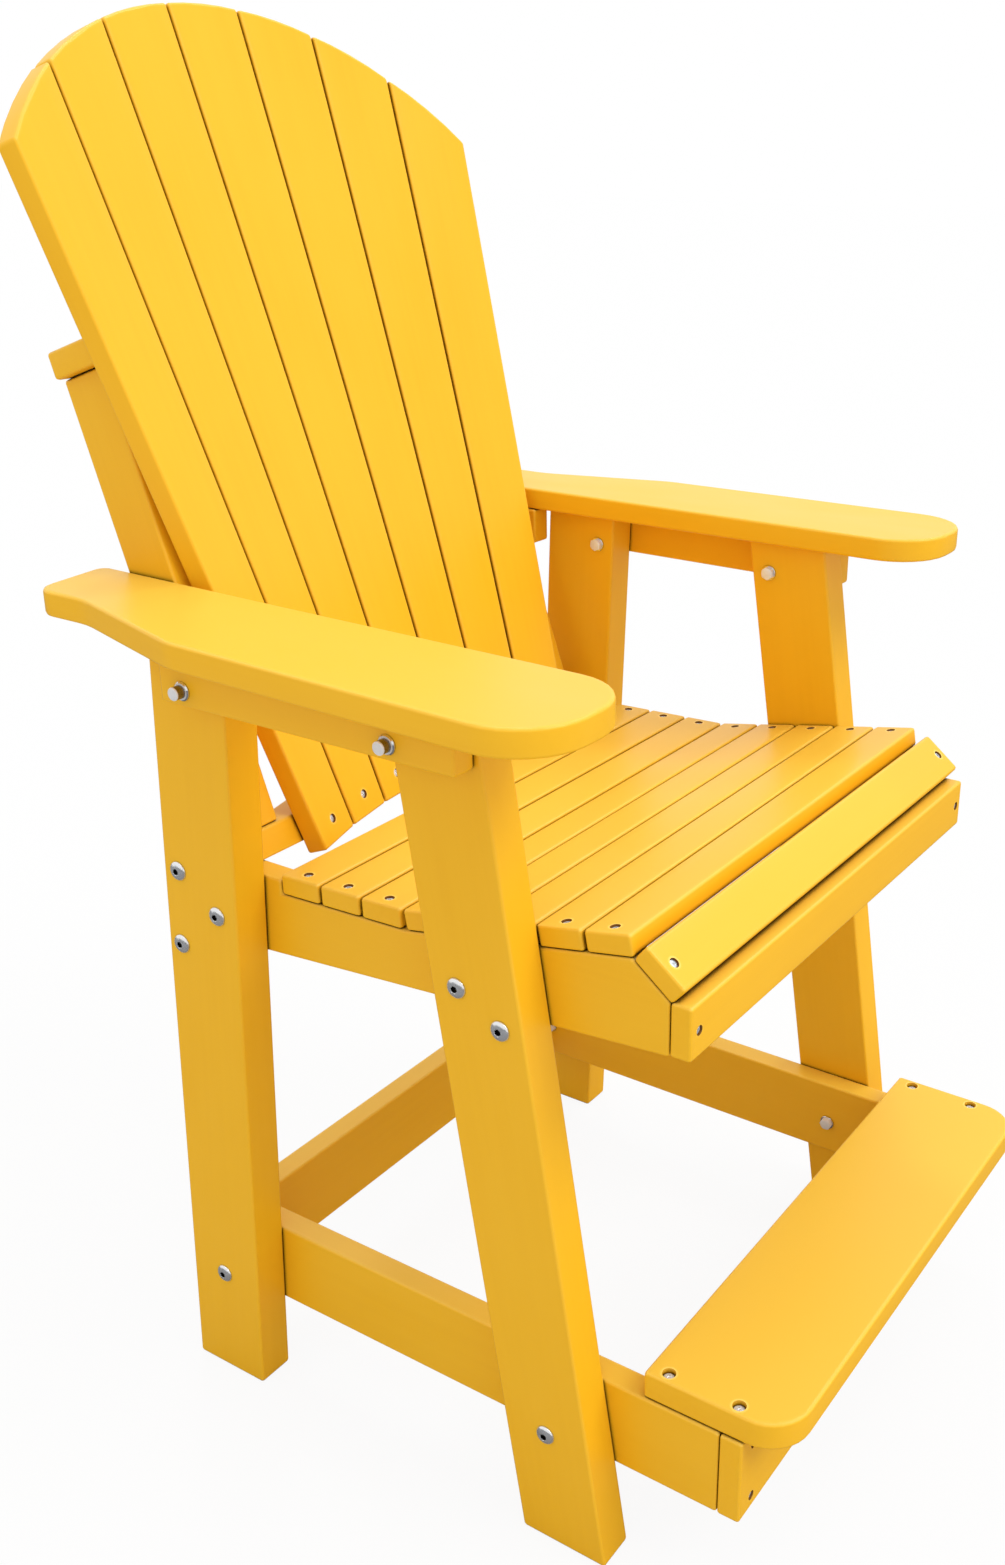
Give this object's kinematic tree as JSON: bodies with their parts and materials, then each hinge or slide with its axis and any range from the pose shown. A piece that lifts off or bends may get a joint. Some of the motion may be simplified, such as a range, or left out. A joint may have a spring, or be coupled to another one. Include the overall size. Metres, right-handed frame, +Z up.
{
  "type": "counter chair",
  "caption": "Counter-height outdoor armchair of thick plastic lumber boards with a tall fan-shaped slatted back, scooped slat seat, wide arms and a footrest between leaning legs.",
  "frame": {"origin": "on the floor, at the middle of the chair's box in plan", "axes": "+Z up, the chair faces -Y, +X to the sitter's left; the chair is mirrored about X = 0"},
  "size_m": [0.8168, 0.872, 1.3341],
  "materials": {
    "hdpe_lumber": "satin yellow HDPE lumber, coloured right through",
    "stainless_steel": "polished stainless steel"
  },
  "bodies": {
    "root": {"arm_cleat_left": "hdpe_lumber", "arm_cleat_right": "hdpe_lumber", "arm_left": "hdpe_lumber", "arm_right": "hdpe_lumber", "arm_support_left": "hdpe_lumber", "arm_support_right": "hdpe_lumber", "back_slat_1": "hdpe_lumber", "back_slat_2": "hdpe_lumber", "back_slat_3": "hdpe_lumber", "back_slat_4": "hdpe_lumber", "back_slat_5": "hdpe_lumber", "back_slat_6": "hdpe_lumber", "back_slat_7": "hdpe_lumber", "back_upright_left": "hdpe_lumber", "back_upright_right": "hdpe_lumber", "footrest_apron": "hdpe_lumber", "footrest_board": "hdpe_lumber", "front_leg_left": "hdpe_lumber", "front_leg_right": "hdpe_lumber", "lower_back_rail": "hdpe_lumber", "rear_cross_stretcher": "hdpe_lumber", "rear_leg_left": "hdpe_lumber", "rear_leg_right": "hdpe_lumber", "seat_apron": "hdpe_lumber", "seat_bolt_1_left": "stainless_steel", "seat_bolt_1_right": "stainless_steel", "seat_bolt_2_left": "stainless_steel", "seat_bolt_2_right": "stainless_steel", "seat_bolt_3_left": "stainless_steel", "seat_bolt_3_right": "stainless_steel", "seat_bolt_4_left": "stainless_steel", "seat_bolt_4_right": "stainless_steel", "seat_nose_slat": "hdpe_lumber", "seat_rail_left": "hdpe_lumber", "seat_rail_right": "hdpe_lumber", "seat_slat_1": "hdpe_lumber", "seat_slat_2": "hdpe_lumber", "seat_slat_3": "hdpe_lumber", "seat_slat_4": "hdpe_lumber", "seat_slat_5": "hdpe_lumber", "seat_slat_6": "hdpe_lumber", "seat_slat_7": "hdpe_lumber", "seat_slat_8": "hdpe_lumber", "side_stretcher_left": "hdpe_lumber", "side_stretcher_right": "hdpe_lumber", "stretcher_bolt_front_left": "stainless_steel", "stretcher_bolt_front_right": "stainless_steel", "stretcher_bolt_rear_left": "stainless_steel", "stretcher_bolt_rear_right": "stainless_steel", "support_bolt_front_left": "stainless_steel", "support_bolt_front_right": "stainless_steel", "support_bolt_rear_left": "stainless_steel", "support_bolt_rear_right": "stainless_steel", "upper_back_rail": "hdpe_lumber", "upright_bolt_left": "stainless_steel", "upright_bolt_right": "stainless_steel"}
  },
  "joints": []
}
